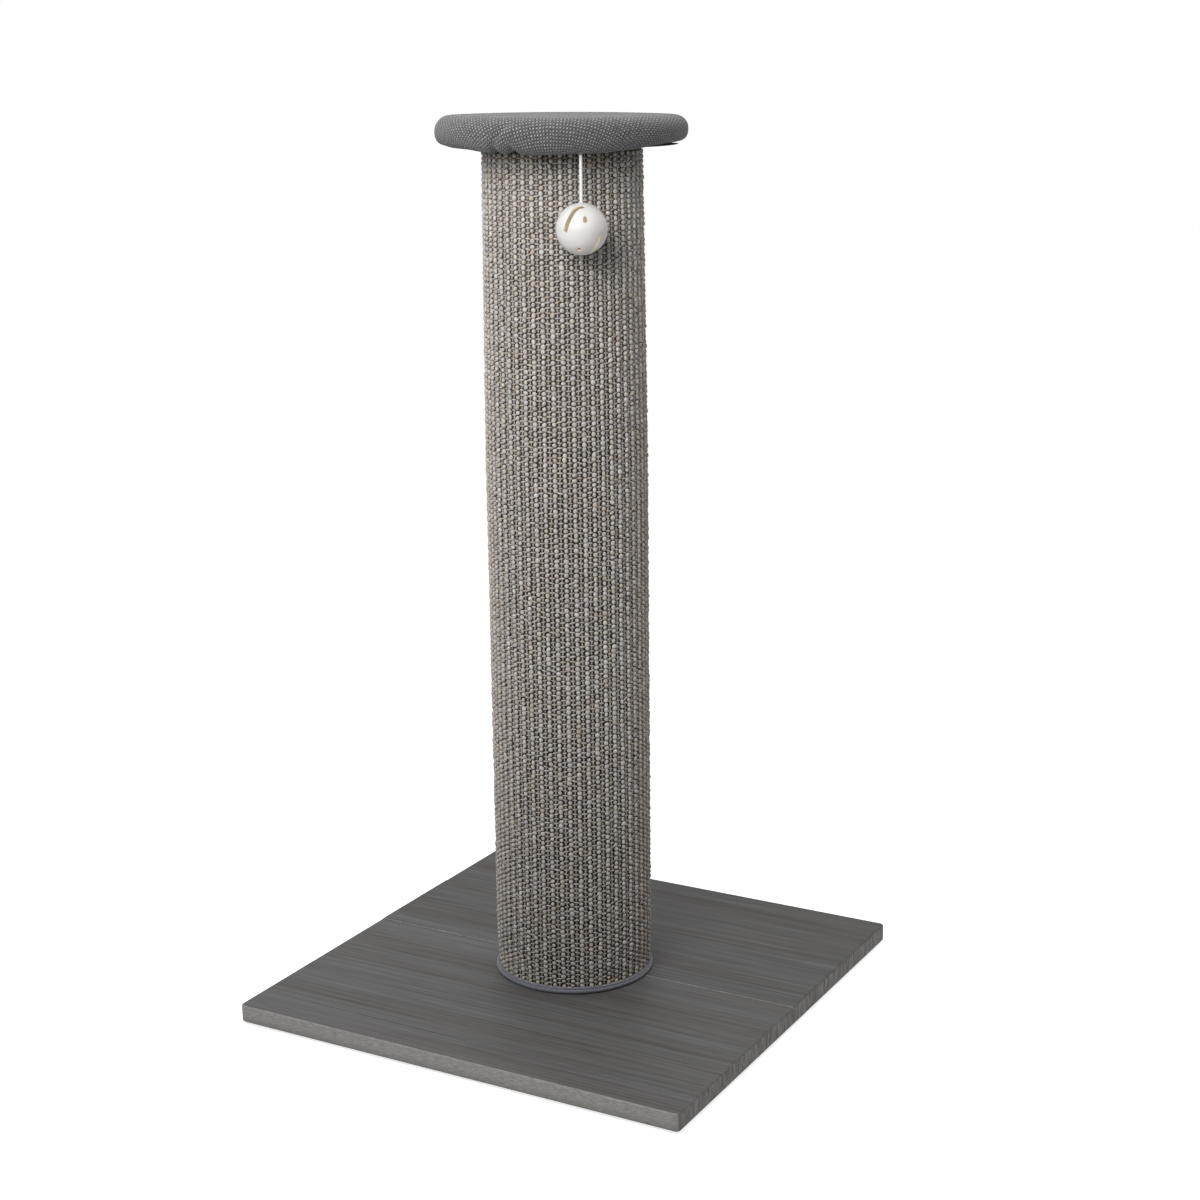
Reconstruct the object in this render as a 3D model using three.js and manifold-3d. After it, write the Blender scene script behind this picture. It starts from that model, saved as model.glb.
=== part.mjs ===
// A cat scratching post: a square base of glued boards, a tall cardboard tube in a
// woven sisal sleeve, a padded round lid, and a toy ball that hangs from the lid.
//
// Millimetres, +Z up. The origin is on the floor, under the middle of the base.
// The boards' grain runs along X and the front edge faces -Y. An azimuth is counted
// in degrees from the front (-Y) towards the right (+X).

import * as THREE from "three";
import { mergeVertices } from "three/addons/utils/BufferGeometryUtils.js";
import Module from "manifold-3d";

const wasm = await Module();
wasm.setup();

// ---------------------------------------------------------------- dimensions

const clearance = 0.3; // between pieces that seat on, or fit in, each other

// Base panel: four boards glued edge to edge, front to back.
const baseWidth = 500;
const stripBoardDepth = 38;
const frontBoardDepth = 217;
const middleBoardDepth = 129;
const backBoardDepth = 116;
const boardThickness = 18.7;
const middleBoardProud = 0.6; // the middle board stands this much above the others
const baseEdgeRound = 2;
const baseCornerRadius = 5;
const seamArris = 0.5; // broken edge along each glued seam

// Felt pads under the base.
const padRadius = 20;
const padThickness = 3;
const padInset = 45; // pad centre, in from the base's edges

// Post: core tube, end plugs and sisal sleeve.
const postHeight = 845.5;
const tubeRadius = 74.7;
const tubeWall = 5;
const plugThickness = 18;
const sleeveThickness = 4.9;
const sleeveStop = 3.5; // the sleeve ends this much below the tube's top
const sleeveRibDepth = 1.3; // how far the bead columns stand out of the weave
const sleeveColumns = 52;
const sleeveSeamGap = 0.8; // butt seam, at the back
const sleeveSeamAzimuth = 205;

// Piping round the sleeve's foot.
const pipingBead = 2.1; // how far the round band stands out
const pipingBandHeight = 4.4;
const pipingLip = 1.1; // thickness of the lip above the band
const pipingLipHeight = 1.6;

// M8 fixings: bolt and washer under the base, stud under the lid, tee nuts.
const threadRadius = 4;
const boltHeadRadius = 6.5;
const boltHeadHeight = 4.5;
const boltSocketWidth = 6; // across the flats
const boltSocketDepth = 2.8;
const boltHeadInset = 1; // above the boards' underside
const boltHolePlay = 0.5;
const washerRadius = 12;
const washerThickness = 1.6;
const washerPlay = 1;
const teeNutBarrelRadius = 5.4;
const teeNutBarrelLength = 9;
const teeNutFlangeRadius = 11;
const teeNutFlangeThickness = 1.3;

// Lid: round board, foam cap and fabric cover with a black lining below.
const lidBoardRadius = 113.5;
const lidBoardThickness = 12;
const foamThickness = 11.5;
const foamWrap = 6.3; // foam round the board's edge
const foamCrown = 1.7;
const coverThickness = 1.6;
const coverTurnUnder = 22; // width of fabric stapled below the board
const rimBulge = 14; // how far the lid's rounded side swells out
const rimUpperHeight = 14.1; // from the widest line of the rim up to its shoulder
const coverLipDrop = 5.6; // the gathered lower edge hangs this much below the turn-under
const coverLipRound = 3;
const liningThickness = 0.8;
const liningPlay = 5; // between the lining's edge and the gathered lip's root
const studHolePlay = 0.5;

// Toy: cord, knots and slotted ball.
const toyAzimuth = 39.3;
const cordRadius = 1.5;
const cordTopLength = 6; // from the cord's first bend to its second
const cordLength = 65.9; // from the first bend to the ball's centre
const knotRadius = 3.4;
const knotHeight = 6;
const ballRadius = 24;
const ballWall = 1.6;
const ballSleeveGap = 1.1;
const spigotHeight = 2.5;
const spigotWall = 1;
const bellRadius = 6.5;
const bellSlotWidth = 1.2;
const longSlotWidth = 3.3;
const shortSlotWidth = 2;
const ovalHoleWidth = 4;
const roundHoleWidth = 4.2;

// The ball's openings, each as [azimuth from the outward side, latitude] in degrees.
const longSlotPath = [[-4, 62], [-29, 54], [-41, 27], [-49, 0]];
const shortSlotPath = [[34, -17], [33, -35], [31, -56]];
const ovalHolePath = [[0, 28], [-1, 25], [-1, 22]];
const roundHole = [-19, -47];

// Facets.
const postFacets = 48;
const lidFacets = 48;
const ballFacets = 30;
const smallFacets = 24;
const cordFacets = 10;
const facetsPerColumn = 4;
const rimFacets = 8;

// ------------------------------------------------------------ derived levels

const baseDepth = stripBoardDepth + frontBoardDepth + middleBoardDepth + backBoardDepth;
const boardsBottom = padThickness + clearance;
const boardsTop = boardsBottom + boardThickness;
const postBottom = boardsTop + middleBoardProud + clearance;
const postTop = postBottom + postHeight;

const sleeveInnerRadius = tubeRadius + clearance;
const sleeveRadius = sleeveInnerRadius + sleeveThickness;
const plugRadius = tubeRadius - tubeWall - clearance;

const boltHeadBottom = boardsBottom + boltHeadInset;
const boltHeadTop = boltHeadBottom + boltHeadHeight;
const washerBottom = boltHeadTop + clearance;
const washerTop = washerBottom + washerThickness;
const boltPocketTop = washerTop + clearance;

const liningBottom = postTop + clearance;
const turnUnderBottom = liningBottom + liningThickness + clearance;
const lidBoardBottom = turnUnderBottom + coverThickness + clearance;
const lidBoardTop = lidBoardBottom + lidBoardThickness;
const foamBottom = lidBoardTop + clearance;
const foamShoulder = foamBottom + foamThickness;
const lidShoulder = foamShoulder + clearance + coverThickness;
const lipBottom = turnUnderBottom - coverLipDrop;
const lidRadius = lidBoardRadius + clearance + foamWrap + clearance + coverThickness;
const rimCentreRadius = lidRadius - rimBulge;
const rimMiddle = lidShoulder - rimUpperHeight;
const rimLowerHeight = rimMiddle - lipBottom;
const turnUnderRadius = lidBoardRadius - coverTurnUnder;
const lipInnerRadius = rimCentreRadius - coverLipRound - liningPlay + clearance;
const liningRadius = lipInnerRadius - clearance;

const toyRadius = sleeveRadius + ballSleeveGap + ballRadius;
const cordHoleRadius = cordRadius + clearance;
const firstBend = lipBottom - cordRadius - clearance;
const secondBend = firstBend - cordTopLength;
const ballCentre = firstBend - cordLength;
const ballInnerRadius = ballRadius - ballWall;

// ------------------------------------------------------------------- helpers

const radians = THREE.MathUtils.degToRad;

// A closed three.js geometry as a solid that can be joined and cut.
function solid(geometry) {
  const bare = new THREE.BufferGeometry();
  bare.setAttribute("position", geometry.getAttribute("position"));
  bare.setIndex(geometry.getIndex());
  const merged = mergeVertices(bare, 1e-4);
  const mesh = new wasm.Mesh({
    numProp: 3,
    vertProperties: merged.getAttribute("position").array,
    triVerts: new Uint32Array(merged.getIndex().array),
  });
  return new wasm.Manifold(mesh);
}

// The solid's faces as a three.js geometry again.
function geometryOf(made) {
  const mesh = made.getMesh();
  const geometry = new THREE.BufferGeometry();
  geometry.setAttribute("position", new THREE.BufferAttribute(mesh.vertProperties, 3));
  geometry.setIndex(new THREE.BufferAttribute(mesh.triVerts, 1));
  geometry.computeVertexNormals();
  return geometry;
}

// A profile of [radius, height] points turned about Z. It runs anticlockwise, from the
// axis back to the axis, or round a ring, which is closed here.
function turned(profile, facets) {
  const isRing = profile[0][0] > 0;
  const closed = isRing ? [...profile, profile[0]] : profile;
  const points = closed.map(([radius, height]) => new THREE.Vector2(radius, height));
  return new THREE.LatheGeometry(points, facets).rotateX(Math.PI / 2);
}

function cylinder(radius, bottom, top, facets = smallFacets) {
  return turned([[0, bottom], [radius, bottom], [radius, top], [0, top]], facets);
}

function ring(innerRadius, outerRadius, bottom, top, facets = smallFacets) {
  const profile = [
    [innerRadius, bottom],
    [outerRadius, bottom],
    [outerRadius, top],
    [innerRadius, top],
  ];
  return turned(profile, facets);
}

// Points along an arc of an ellipse in the [radius, height] plane, both ends included.
function arc([centreRadius, centreHeight], [semiRadius, semiHeight], from, to, steps) {
  return Array.from({ length: steps + 1 }, (_, i) => {
    const angle = radians(from + ((to - from) * i) / steps);
    return [
      centreRadius + semiRadius * Math.cos(angle),
      centreHeight + semiHeight * Math.sin(angle),
    ];
  });
}

function at(geometry, x, y, z = 0) {
  return geometry.translate(x, y, z);
}

// ------------------------------------------------------------------ materials

function material(color, roughness, metalness = 0) {
  return () => new THREE.MeshStandardMaterial({ color, roughness, metalness });
}

const stainedWood = material(0x5e5d5b, 0.55);
const felt = material(0x3a3a3a, 0.95);
const zincSteel = material(0xb9bcc0, 0.35, 0.9);
const plywood = material(0xb58f62, 0.7);
const cardboard = material(0x9a7a55, 0.9);
const sisal = material(0x847f7b, 0.95);
const pipingFabric = material(0x55565c, 0.8);
const foam = material(0xd9d4c4, 0.95);
const lidFabric = material(0x7c7c7d, 0.95);
const blackLining = material(0x151516, 0.9);
const whiteCord = material(0xe2e2e0, 0.8);
const whitePlastic = material(0xdedddb, 0.35);
const brass = material(0xb08d4c, 0.35, 0.9);

const post = new THREE.Group();

function add(parent, name, geometry, makeMaterial) {
  const mesh = new THREE.Mesh(geometry, makeMaterial());
  mesh.name = name;
  parent.add(mesh);
  return mesh;
}

// ----------------------------------------------------------------------- base

// The whole panel's rounded block, to a given thickness: each board is cut from one.
function panelBlock(thickness) {
  const halfWidth = baseWidth / 2 - baseEdgeRound;
  const halfDepth = baseDepth / 2 - baseEdgeRound;
  const round = baseCornerRadius - baseEdgeRound;
  const outline = new THREE.Shape()
    .moveTo(-halfWidth + round, -halfDepth)
    .absarc(halfWidth - round, -halfDepth + round, round, -Math.PI / 2, 0)
    .absarc(halfWidth - round, halfDepth - round, round, 0, Math.PI / 2)
    .absarc(-halfWidth + round, halfDepth - round, round, Math.PI / 2, Math.PI)
    .absarc(-halfWidth + round, -halfDepth + round, round, Math.PI, 1.5 * Math.PI);
  const geometry = new THREE.ExtrudeGeometry(outline, {
    depth: thickness - 2 * baseEdgeRound,
    bevelThickness: baseEdgeRound,
    bevelSize: baseEdgeRound,
    bevelSegments: 3,
    curveSegments: 3,
  });
  return at(geometry, 0, 0, boardsBottom + baseEdgeRound);
}

// The room between two seams, with its long edges broken, along the whole width.
function boardRoom(front, back, thickness) {
  const bottom = boardsBottom;
  const top = boardsBottom + thickness;
  const section = new THREE.Shape()
    .moveTo(front + seamArris, bottom)
    .lineTo(back - seamArris, bottom)
    .lineTo(back, bottom + seamArris)
    .lineTo(back, top - seamArris)
    .lineTo(back - seamArris, top)
    .lineTo(front + seamArris, top)
    .lineTo(front, top - seamArris)
    .lineTo(front, bottom + seamArris);
  const length = baseWidth + 2 * baseEdgeRound;
  const geometry = new THREE.ExtrudeGeometry(section, { depth: length, bevelEnabled: false });
  const sectionToYZ = new THREE.Matrix4().makeBasis(
    new THREE.Vector3(0, 1, 0),
    new THREE.Vector3(0, 0, 1),
    new THREE.Vector3(1, 0, 0),
  );
  return at(geometry.applyMatrix4(sectionToYZ), -length / 2, 0);
}

function addBase() {
  const overhang = baseEdgeRound + seamArris; // outer edges keep the panel's own rounding
  const boltHole = solid(cylinder(threadRadius + boltHolePlay, 0, postBottom));
  const boltPocket = solid(cylinder(washerRadius + washerPlay, 0, boltPocketTop));
  const boards = [
    ["base_strip_board", stripBoardDepth, 0],
    ["base_front_board", frontBoardDepth, 0],
    ["base_middle_board", middleBoardDepth, middleBoardProud],
    ["base_back_board", backBoardDepth, 0],
  ];
  let front = -baseDepth / 2;
  boards.forEach(([name, depth, proud], i) => {
    const back = front + depth;
    const roomFront = i === 0 ? front - overhang : front + clearance / 2;
    const roomBack = i === boards.length - 1 ? back + overhang : back - clearance / 2;
    const thickness = boardThickness + proud;
    const board = solid(panelBlock(thickness))
      .intersect(solid(boardRoom(roomFront, roomBack, thickness)))
      .subtract(boltHole)
      .subtract(boltPocket);
    add(post, name, geometryOf(board), stainedWood);
    front = back;
  });

  const padX = baseWidth / 2 - padInset;
  const padY = baseDepth / 2 - padInset;
  for (const [depthName, y] of [["front", -padY], ["back", padY]])
    for (const [sideName, x] of [["left", -padX], ["right", padX]]) {
      const pad = at(cylinder(padRadius, 0, padThickness), x, y);
      add(post, `floor_pad_${depthName}_${sideName}`, pad, felt);
    }
}

// --------------------------------------------------------------------- fixings

// A tee nut with its barrel up (direction 1) or down (-1) from its flange's face.
function teeNut(flangeFace, direction) {
  const bore = threadRadius + clearance;
  const flangeBack = flangeFace - direction * teeNutFlangeThickness;
  const barrelEnd = flangeFace + direction * teeNutBarrelLength;
  const profile = [
    [bore, flangeBack],
    [teeNutFlangeRadius, flangeBack],
    [teeNutFlangeRadius, flangeFace],
    [teeNutBarrelRadius, flangeFace],
    [teeNutBarrelRadius, barrelEnd],
    [bore, barrelEnd],
  ];
  return turned(direction > 0 ? profile : profile.reverse(), smallFacets);
}

// A socket-head bolt, head down.
function baseBolt(shankTop) {
  const body = turned(
    [
      [0, boltHeadBottom],
      [boltHeadRadius, boltHeadBottom],
      [boltHeadRadius, boltHeadTop],
      [threadRadius, boltHeadTop],
      [threadRadius, shankTop],
      [0, shankTop],
    ],
    smallFacets,
  );
  const socketRadius = boltSocketWidth / Math.sqrt(3);
  const socketBottom = boltHeadBottom - 1;
  const socket = turned(
    [
      [0, socketBottom],
      [socketRadius, socketBottom],
      [socketRadius, boltHeadBottom + boltSocketDepth],
      [0, boltHeadBottom + boltSocketDepth],
    ],
    6,
  );
  return geometryOf(solid(body).subtract(solid(socket)));
}

// ------------------------------------------------------------------------ post

// The sleeve's plan: an open ring with a butt seam, scalloped outside by the bead columns.
function sleeveOutline() {
  const seam = radians(sleeveSeamAzimuth - 90);
  const halfGap = sleeveSeamGap / 2 / sleeveRadius;
  const steps = sleeveColumns * facetsPerColumn;
  const sweep = 2 * Math.PI - 2 * halfGap;
  const point = (radius, step) => {
    const angle = seam + halfGap + (sweep * step) / steps;
    return new THREE.Vector2(radius * Math.cos(angle), radius * Math.sin(angle));
  };
  const outline = [];
  for (let step = 0; step <= steps; step++) {
    const rise = Math.sin((Math.PI * step) / facetsPerColumn) ** 2;
    outline.push(point(sleeveRadius - sleeveRibDepth * (1 - rise), step));
  }
  for (let step = steps; step >= 0; step -= 2) outline.push(point(sleeveInnerRadius, step));
  return new THREE.Shape(outline);
}

// Piping: a round band at the foot, a groove, and a thin lip above.
function pipingProfile() {
  const inner = sleeveRadius + clearance;
  const bandMiddle = postBottom + pipingBandHeight / 2;
  const band = arc([inner, bandMiddle], [pipingBead, pipingBandHeight / 2], -90, 66, 6);
  const lipTop = postBottom + pipingBandHeight + pipingLipHeight;
  return [
    ...band,
    [inner + pipingLip, postBottom + pipingBandHeight + pipingLipHeight / 4],
    [inner + pipingLip, lipTop - pipingLipHeight / 4],
    [inner + pipingLip / 2, lipTop],
    [inner, lipTop],
  ];
}

function addPost() {
  const barrelHole = teeNutBarrelRadius + clearance;
  const bottomPlugTop = postBottom + plugThickness;
  const topPlugBottom = postTop - plugThickness;

  const bottomPlug = ring(barrelHole, plugRadius, postBottom, bottomPlugTop, postFacets);
  add(post, "bottom_plug", bottomPlug, plywood);
  const bottomNutFace = bottomPlugTop + clearance;
  add(post, "bottom_tee_nut", teeNut(bottomNutFace, -1), zincSteel);
  const washer = ring(threadRadius + clearance, washerRadius, washerBottom, washerTop);
  add(post, "base_washer", washer, zincSteel);
  add(post, "base_bolt", baseBolt(bottomNutFace), zincSteel);

  const tube = ring(tubeRadius - tubeWall, tubeRadius, postBottom, postTop, postFacets);
  add(post, "core_tube", tube, cardboard);
  const sleeve = new THREE.ExtrudeGeometry(sleeveOutline(), {
    depth: postHeight - sleeveStop,
    bevelEnabled: false,
  });
  add(post, "sisal_sleeve", at(sleeve, 0, 0, postBottom), sisal);
  add(post, "foot_piping", turned(pipingProfile(), postFacets), pipingFabric);

  const topPlug = ring(barrelHole, plugRadius, topPlugBottom, postTop, postFacets);
  add(post, "top_plug", topPlug, plywood);
  add(post, "top_tee_nut", teeNut(topPlugBottom - clearance, 1), zincSteel);
}

// ------------------------------------------------------------------------- lid

// The lid's rounded side, from one angle to another, sunk below its surface by an inset.
function rim(inset, from, to, steps) {
  const centre = [rimCentreRadius, rimMiddle];
  const split = (angle) => (angle < 0 ? rimLowerHeight : rimUpperHeight) - inset;
  return Array.from({ length: steps + 1 }, (_, i) => {
    const angle = from + ((to - from) * i) / steps;
    return arc(centre, [rimBulge - inset, split(angle)], angle, angle, 1)[0];
  });
}

// The same side under the cover, down to where the fabric turns under the board.
function innerRim(inset) {
  const drop = rimMiddle - (lidBoardBottom - clearance);
  const turn = Math.asin(drop / (rimLowerHeight - coverThickness));
  return rim(inset, -THREE.MathUtils.radToDeg(turn), 90, rimFacets);
}

function coverGeometry(cordHole) {
  const profile = [
    [0, lidShoulder + foamCrown - coverThickness],
    ...innerRim(coverThickness).reverse(),
    [turnUnderRadius, lidBoardBottom - clearance],
    [turnUnderRadius, turnUnderBottom],
    [lipInnerRadius, turnUnderBottom],
    ...rim(0, -90, 90, 10),
    [0, lidShoulder + foamCrown],
  ];
  return geometryOf(solid(turned(profile, lidFacets)).subtract(cordHole));
}

function foamGeometry(knotPocket) {
  const outside = innerRim(coverThickness + clearance).slice(1);
  const skirtBottom = outside[0][1];
  const profile = [
    [0, foamBottom],
    [lidBoardRadius + clearance, foamBottom],
    [lidBoardRadius + clearance, skirtBottom],
    ...outside,
    [0, foamShoulder + foamCrown],
  ];
  return geometryOf(solid(turned(profile, lidFacets)).subtract(knotPocket));
}

function lidBoardGeometry(cordHole, knotPocket) {
  const flangePocket = teeNutFlangeThickness + 2 * clearance;
  const board = ring(
    teeNutBarrelRadius + clearance,
    lidBoardRadius,
    lidBoardBottom,
    lidBoardTop,
    lidFacets,
  );
  const recess = cylinder(
    teeNutFlangeRadius + clearance,
    lidBoardTop - flangePocket,
    lidBoardTop + 1,
  );
  return geometryOf(
    solid(board).subtract(solid(recess)).subtract(cordHole).subtract(knotPocket),
  );
}

function addLid() {
  const toyX = toyRadius * Math.sin(radians(toyAzimuth));
  const toyY = -toyRadius * Math.cos(radians(toyAzimuth));
  const cordHole = solid(at(cylinder(cordHoleRadius, lipBottom - 1, foamBottom), toyX, toyY));
  const pocketBottom = lidBoardTop - knotHeight - clearance;
  const knotPocket = solid(
    at(cylinder(knotRadius + clearance, pocketBottom, lidBoardTop + clearance), toyX, toyY),
  );

  const lining = ring(
    threadRadius + studHolePlay,
    liningRadius,
    liningBottom,
    liningBottom + liningThickness,
    lidFacets,
  );
  add(post, "lid_lining", lining, blackLining);
  add(post, "lid_board", lidBoardGeometry(cordHole, knotPocket), plywood);
  add(post, "lid_foam", foamGeometry(knotPocket), foam);
  add(post, "lid_cover", coverGeometry(cordHole), lidFabric);

  const nutFace = lidBoardTop - teeNutFlangeThickness - clearance;
  add(post, "lid_tee_nut", teeNut(nutFace, -1), zincSteel);
  const studBottom = postTop - plugThickness - clearance - teeNutFlangeThickness;
  add(post, "lid_stud", cylinder(threadRadius, studBottom, nutFace), zincSteel);

  // The cord's fixed end: a stop knot in its pocket, and a stem down to the first bend.
  const knotBottom = pocketBottom + clearance;
  const stemBottom = firstBend + cordRadius + clearance;
  const anchor = turned(
    [
      [0, stemBottom],
      [cordRadius, stemBottom],
      ...knotSide(knotBottom),
      [0, knotBottom + knotHeight],
    ],
    cordFacets,
  );
  add(post, "toy_cord_anchor", at(anchor, toyX, toyY), whiteCord);
}

// ------------------------------------------------------------------------- toy

// The barrel-shaped side of a knot, from the cord's surface at its bottom to its top.
function knotSide(bottom) {
  const middle = bottom + knotHeight / 2;
  const start = THREE.MathUtils.radToDeg(Math.acos(cordRadius / knotRadius));
  return arc([0, middle], [knotRadius, knotHeight / 2], -start, start, 5);
}

// A point on a sphere about the origin; azimuth 0 is the side away from the post.
function onSphere([azimuth, latitude], radius) {
  const a = radians(azimuth);
  const l = radians(latitude);
  return new THREE.Vector3(
    Math.cos(l) * Math.sin(a),
    -Math.cos(l) * Math.cos(a),
    Math.sin(l),
  ).multiplyScalar(radius);
}

// A radial drill through the ball's wall.
function drill(direction, width) {
  const tool = cylinder(width / 2, ballInnerRadius / 2, ballRadius + ballWall, 12);
  const up = new THREE.Vector3(0, 0, 1);
  tool.applyQuaternion(new THREE.Quaternion().setFromUnitVectors(up, direction));
  return solid(tool);
}

// A slot milled through the wall along a path of directions: a bent bar with four sides,
// and a drill at each end to round it.
function milledSlot(path, width) {
  const steps = 3 * path.length;
  const curve = new THREE.CatmullRomCurve3(path.map((way) => onSphere(way, 1)));
  const low = ballInnerRadius / 2;
  const high = ballRadius + ballWall;
  const corners = [];
  for (let i = 0; i <= steps; i++) {
    const out = curve.getPoint(i / steps).normalize();
    const along = curve.getTangent(i / steps);
    const side = new THREE.Vector3().crossVectors(along, out).setLength(width / 2);
    for (const [height, sign] of [[low, -1], [low, 1], [high, 1], [high, -1]])
      corners.push(out.clone().multiplyScalar(height).addScaledVector(side, sign));
  }
  const index = [0, 1, 2, 0, 2, 3];
  for (let i = 0; i < steps; i++)
    for (let k = 0; k < 4; k++) {
      const a = 4 * i + k;
      const b = 4 * i + ((k + 1) % 4);
      index.push(a, a + 4, b, b, a + 4, b + 4);
    }
  const end = 4 * steps;
  index.push(end, end + 2, end + 1, end, end + 3, end + 2);
  const bar = new THREE.BufferGeometry().setFromPoints(corners).setIndex(index);
  return solid(bar)
    .add(drill(curve.getPoint(0).normalize(), width))
    .add(drill(curve.getPoint(1).normalize(), width));
}

// All openings of the ball: one set on the outward side and the same set behind.
function ballOpenings() {
  const set = milledSlot(longSlotPath, longSlotWidth)
    .add(milledSlot(shortSlotPath, shortSlotWidth))
    .add(milledSlot(ovalHolePath, ovalHoleWidth))
    .add(drill(onSphere(roundHole, 1), roundHoleWidth));
  return set.add(set.rotate([0, 0, 180]));
}

function upperShell() {
  const seam = clearance / 2;
  const hole = cordHoleRadius;
  const outerEnd = THREE.MathUtils.radToDeg(Math.acos(hole / ballRadius));
  const innerEnd = THREE.MathUtils.radToDeg(Math.acos(hole / ballInnerRadius));
  const outerStart = THREE.MathUtils.radToDeg(Math.asin(seam / ballRadius));
  const innerStart = THREE.MathUtils.radToDeg(Math.asin(seam / ballInnerRadius));
  const inner = arc([0, 0], [ballInnerRadius, ballInnerRadius], innerStart, innerEnd, 8);
  return turned(
    [
      ...arc([0, 0], [ballRadius, ballRadius], outerStart, outerEnd, 8),
      ...inner.reverse(),
    ],
    ballFacets,
  );
}

function lowerShell() {
  const seam = clearance / 2;
  const spigotRadius = Math.sqrt(ballInnerRadius ** 2 - spigotHeight ** 2) - clearance;
  const spigotInner = spigotRadius - spigotWall;
  const outerEnd = THREE.MathUtils.radToDeg(Math.asin(seam / ballRadius));
  const innerEnd = THREE.MathUtils.radToDeg(Math.acos(spigotInner / ballInnerRadius));
  const inner = arc([0, 0], [ballInnerRadius, ballInnerRadius], -90, -innerEnd, 6);
  return turned(
    [
      [0, -ballRadius],
      ...arc([0, 0], [ballRadius, ballRadius], -90, -outerEnd, 8).slice(1),
      [spigotRadius, -seam],
      [spigotRadius, spigotHeight],
      [spigotInner, spigotHeight],
      ...inner.reverse().slice(0, -1),
      [0, -ballInnerRadius],
    ],
    ballFacets,
  );
}

// A jingle bell with a cross cut in its lower half.
function bellGeometry() {
  const round = arc([0, 0], [bellRadius, bellRadius], -90, 90, 8);
  const ball = turned([[0, -bellRadius], ...round.slice(1, -1), [0, bellRadius]], 16);
  const length = 2 * bellRadius + 2;
  const cut = new THREE.BoxGeometry(length, bellSlotWidth, bellRadius);
  const first = solid(at(cut, 0, 0, -bellRadius));
  const cross = first.add(first.rotate([0, 0, 90]));
  return geometryOf(solid(ball).subtract(cross));
}

function addToy() {
  const toy = new THREE.Group(); // its -Y looks straight out from the post
  toy.rotation.z = radians(toyAzimuth);
  post.add(toy);
  const hang = new THREE.Group();
  hang.position.y = -toyRadius;
  toy.add(hang);

  // Each stretch of cord starts in a half ball about its bend.
  const rounded = (bend) => arc([0, bend], [cordRadius, cordRadius], 0, 90, 3).slice(0, -1);
  const topEnd = secondBend + cordRadius + clearance;
  const cordTop = turned(
    [[0, topEnd], [cordRadius, topEnd], ...rounded(firstBend), [0, firstBend + cordRadius]],
    cordFacets,
  );
  add(hang, "toy_cord_top", cordTop, whiteCord);

  const knotTop = ballCentre + Math.sqrt(ballInnerRadius ** 2 - knotRadius ** 2) - clearance;
  const knotBottom = knotTop - knotHeight;
  const cord = turned(
    [
      [0, knotBottom],
      ...knotSide(knotBottom),
      ...rounded(secondBend),
      [0, secondBend + cordRadius],
    ],
    cordFacets,
  );
  add(hang, "toy_cord", cord, whiteCord);

  const ball = new THREE.Group();
  ball.position.z = ballCentre;
  hang.add(ball);
  const openings = ballOpenings();
  const upper = solid(upperShell()).subtract(openings);
  const lower = solid(lowerShell()).subtract(openings);
  add(ball, "ball_upper_shell", geometryOf(upper), whitePlastic);
  add(ball, "ball_lower_shell", geometryOf(lower), whitePlastic);
  const bell = add(ball, "ball_bell", bellGeometry(), brass);
  bell.position.z = bellRadius + clearance - ballInnerRadius;
}

addBase();
addPost();
addLid();
addToy();

export default post;
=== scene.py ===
"""A cat scratching post: a square base of grey-stained boards, a tall tube in a woven
sisal sleeve, a round lid under grey fabric, and a white toy ball that hangs on a cord.

Lengths are millimetres in the shapes and metres on the finished pieces. The origin is
on the floor under the middle of the base, and an azimuth runs from the front (-Y)
towards the right (+X), in degrees.
"""

import math
from functools import partial

import bmesh
import bpy
import numpy as np
from mathutils import Matrix, Vector


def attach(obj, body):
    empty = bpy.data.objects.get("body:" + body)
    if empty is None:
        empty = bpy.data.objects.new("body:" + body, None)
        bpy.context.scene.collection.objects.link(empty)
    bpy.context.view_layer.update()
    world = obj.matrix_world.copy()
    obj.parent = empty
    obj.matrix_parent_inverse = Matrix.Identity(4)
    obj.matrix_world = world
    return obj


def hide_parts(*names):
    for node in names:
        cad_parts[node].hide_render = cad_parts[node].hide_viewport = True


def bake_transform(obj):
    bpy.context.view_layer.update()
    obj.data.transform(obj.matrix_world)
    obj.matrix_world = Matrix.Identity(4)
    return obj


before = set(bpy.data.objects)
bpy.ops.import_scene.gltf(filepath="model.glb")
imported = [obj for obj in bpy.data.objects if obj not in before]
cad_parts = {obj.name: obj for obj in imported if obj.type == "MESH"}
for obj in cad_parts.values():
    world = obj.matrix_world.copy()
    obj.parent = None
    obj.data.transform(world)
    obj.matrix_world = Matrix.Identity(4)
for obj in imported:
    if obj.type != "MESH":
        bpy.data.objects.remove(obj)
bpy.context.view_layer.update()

MM = 0.001

# ---------------------- sizes, in millimetres

post_bottom = 22.9
sleeve_top = 864.9
sleeve_radius = 79.9
# The ground weave is painted dark, as shade between the beads.
backing_radius = 75.9  # the dark ground weave behind the beads
sleeve_inner_radius = 75.0
sleeve_columns = 52
sleeve_rows = 170
sleeve_bands = 5
sleeve_seam_azimuth = 205
sleeve_seam_width = 0.8

piping_band_height = 4.4
piping_bead = 2.1
piping_lip = 1.1
piping_lip_height = 1.6

pad_radius, pad_height, pad_edge = 20.0, 3.0, 0.6
pad_reach = 205  # from the middle of the base to a floor pad's middle, each way

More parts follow.
